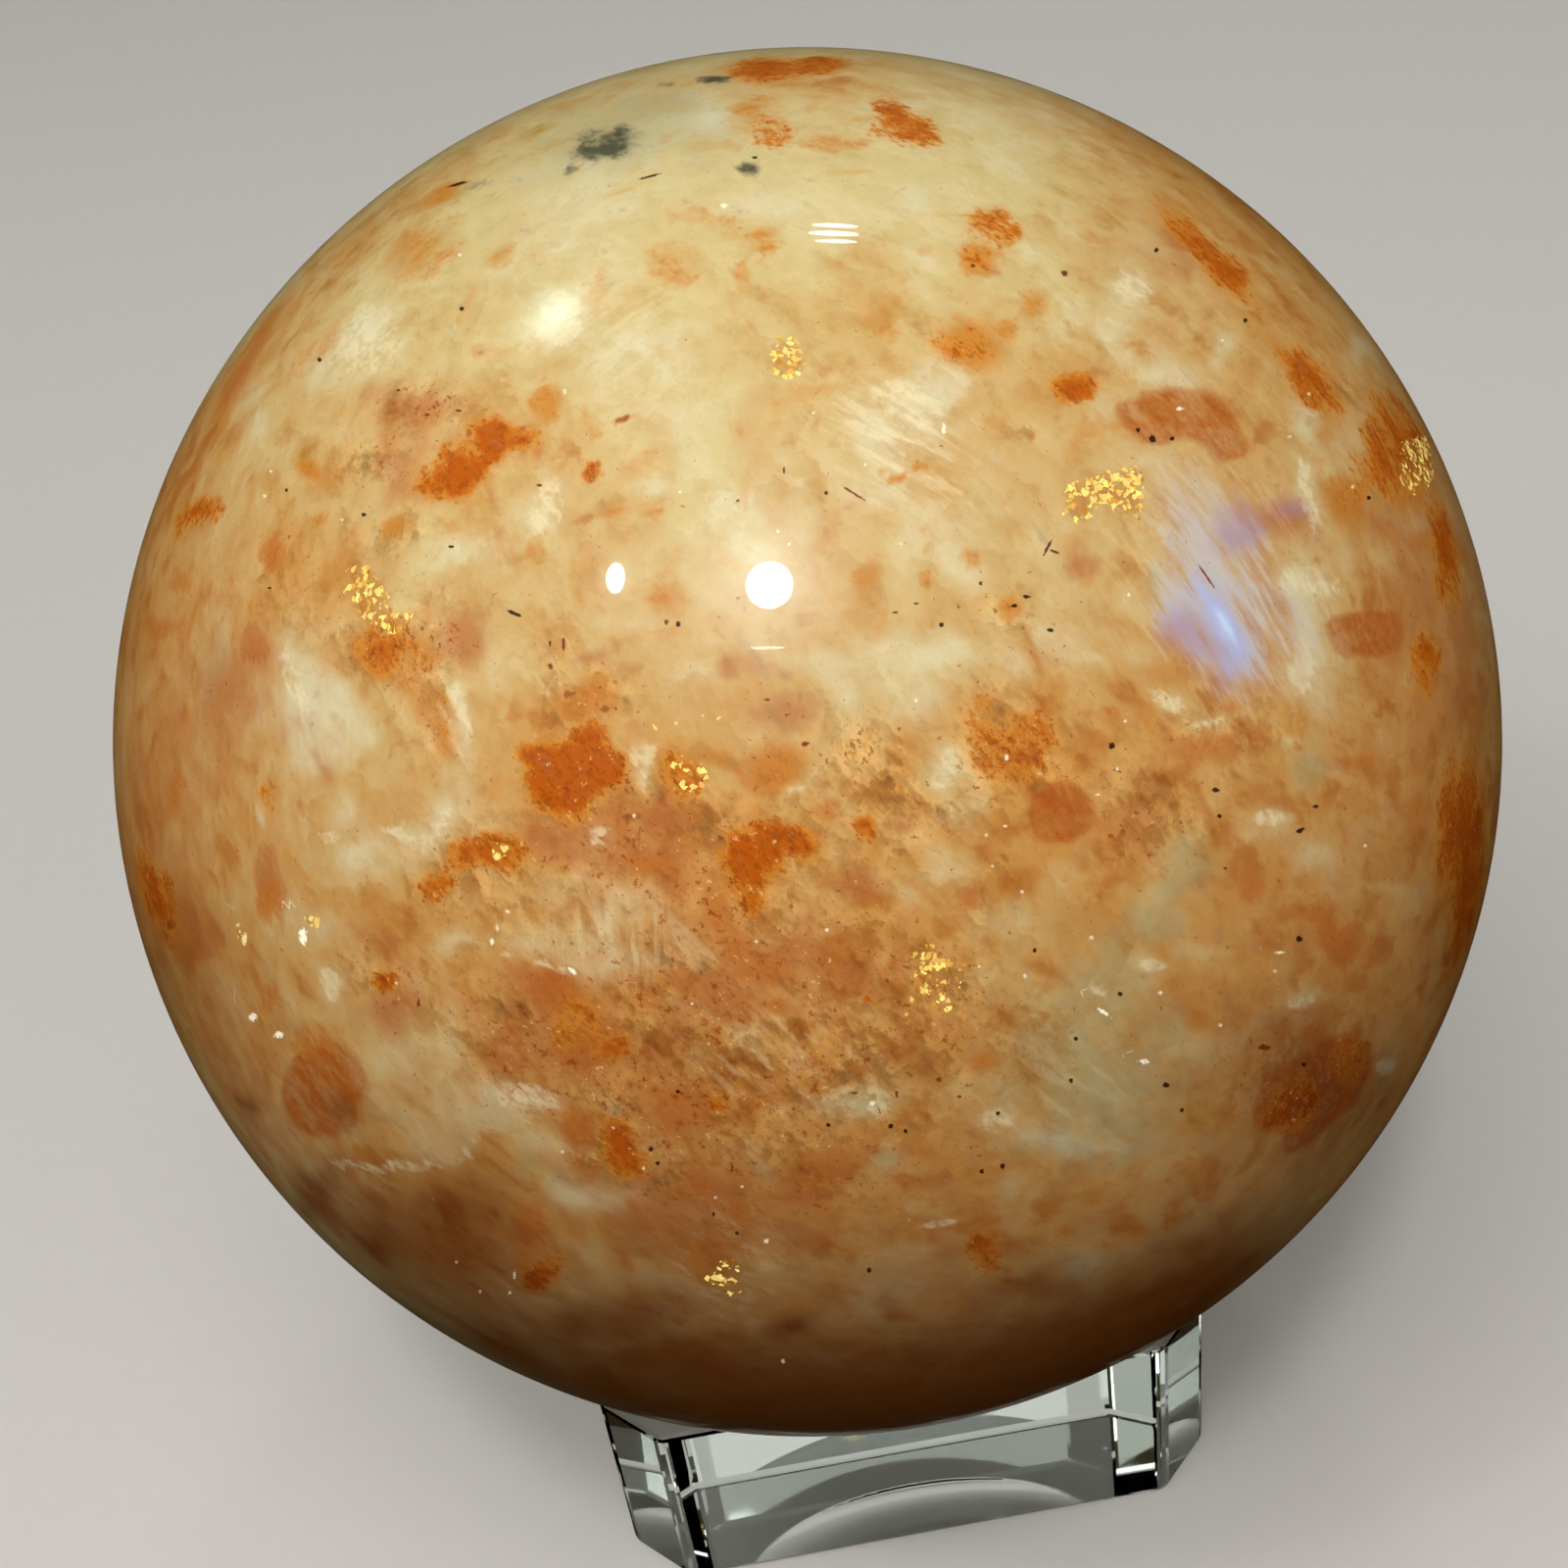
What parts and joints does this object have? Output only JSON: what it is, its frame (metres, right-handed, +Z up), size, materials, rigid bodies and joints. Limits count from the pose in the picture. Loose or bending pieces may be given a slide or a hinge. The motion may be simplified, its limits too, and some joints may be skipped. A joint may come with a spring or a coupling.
{
  "type": "polished stone sphere on a stand",
  "caption": "Polished sunstone ball, cream and peach feldspar with rust patches and gold glitter, resting on a small clear block stand.",
  "frame": {"origin": "on the surface that the stand rests on, under the middle of the stand and the ball", "axes": "+Z up through the middle of the stand and the ball; +X and +Y along the stand's sides, with the front at -Y"},
  "size_m": [0.06, 0.06, 0.0705],
  "materials": {
    "sunstone": "polished",
    "clear_stand": "polished"
  },
  "bodies": {
    "root": {"sphere": "sunstone", "stand": "clear_stand"}
  },
  "joints": []
}
